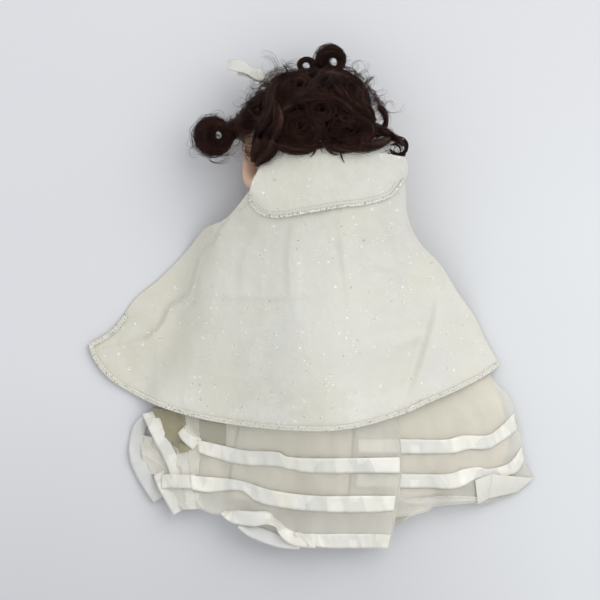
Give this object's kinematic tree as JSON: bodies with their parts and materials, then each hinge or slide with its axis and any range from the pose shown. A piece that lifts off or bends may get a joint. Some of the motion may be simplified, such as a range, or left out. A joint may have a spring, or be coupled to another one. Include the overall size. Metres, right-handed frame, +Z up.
{
  "type": "topsy turvy doll",
  "caption": "Topsy turvy doll lying face down in a cape and a ribboned sheer skirt, with a second half doll under the skirt.",
  "frame": {"origin": "middle of the whole outline, on the surface that the doll lies on", "axes": "+Y towards the upper head, +Z up from the surface, +X across the doll to the right as seen from its back"},
  "size_m": [0.3004, 0.3368, 0.0754],
  "materials": {
    "skin": "satin",
    "hair": "satin",
    "cape_cloth": "matte",
    "braid": "satin",
    "organza": "satin",
    "lining": "satin",
    "ribbon": "gloss",
    "elastic": "matte",
    "button": "matte"
  },
  "bodies": {
    "doll_body": {"upper_body_front": "skin", "upper_body_back": "skin", "lower_body_front": "skin", "lower_body_back": "skin", "waist_sleeve": "button", "upper_bodice": "ribbon", "lower_bodice": "ribbon", "waistband": "ribbon", "neck_elastic": "elastic", "upper_arm_elastic": "elastic", "lower_arm_elastic": "elastic", "cape": "cape_cloth", "collar": "cape_cloth", "cape_braid": "braid", "collar_braid": "braid", "overskirt_left": "organza", "overskirt_right": "organza", "overskirt_front": "organza", "lining_back": "lining", "lining_front": "lining", "ribbon_left_1": "ribbon", "ribbon_left_2": "ribbon", "ribbon_left_3": "ribbon", "ribbon_right_1": "ribbon", "ribbon_right_2": "ribbon", "ribbon_right_3": "ribbon", "ribbon_front_1": "ribbon", "ribbon_front_2": "ribbon", "ribbon_front_3": "ribbon"},
    "upper_head_turning": {"upper_head": "skin", "upper_neck_button": "button", "upper_wig_cap": "hair", "nape_roll": "hair", "low_roll": "hair", "high_roll": "hair", "crown_roll": "hair", "left_curl": "hair", "top_curl": "hair", "small_curl": "hair", "low_curl": "hair", "right_loop": "hair", "hair_bow": "ribbon"},
    "lower_head_turning": {"lower_head": "skin", "lower_neck_button": "button", "lower_wig_cap": "hair"},
    "upper_left_arm_swinging": {"upper_left_arm": "skin", "upper_left_button": "button"},
    "upper_right_arm_swinging": {"upper_right_arm": "skin", "upper_right_button": "button"},
    "lower_left_arm_swinging": {"lower_left_arm": "skin", "lower_left_button": "button"},
    "lower_right_arm_swinging": {"lower_right_arm": "skin", "lower_right_button": "button"}
  },
  "joints": [
    {"name": "upper_neck", "type": "hinge", "parent": "doll_body", "child": "upper_head_turning", "pos_m": [0.0094, 0.08655, 0.0327], "axis": [0, 1, 0], "range_deg": [-80, 80]},
    {"name": "lower_neck", "type": "hinge", "parent": "doll_body", "child": "lower_head_turning", "pos_m": [0.0094, -0.01345, 0.0327], "axis": [0, -1, 0], "range_deg": [-80, 80]},
    {"name": "upper_left_shoulder", "type": "hinge", "parent": "doll_body", "child": "upper_left_arm_swinging", "pos_m": [-0.0206, 0.07655, 0.0327], "axis": [-1, 0, 0], "range_deg": [0, 115]},
    {"name": "upper_right_shoulder", "type": "hinge", "parent": "doll_body", "child": "upper_right_arm_swinging", "pos_m": [0.0394, 0.07655, 0.0327], "axis": [1, 0, 0], "range_deg": [0, 115]},
    {"name": "lower_left_shoulder", "type": "hinge", "parent": "doll_body", "child": "lower_left_arm_swinging", "pos_m": [-0.0206, -0.00345, 0.0327], "axis": [1, 0, 0], "range_deg": [-18, 18]},
    {"name": "lower_right_shoulder", "type": "hinge", "parent": "doll_body", "child": "lower_right_arm_swinging", "pos_m": [0.0394, -0.00345, 0.0327], "axis": [1, 0, 0], "range_deg": [-18, 18]}
  ]
}
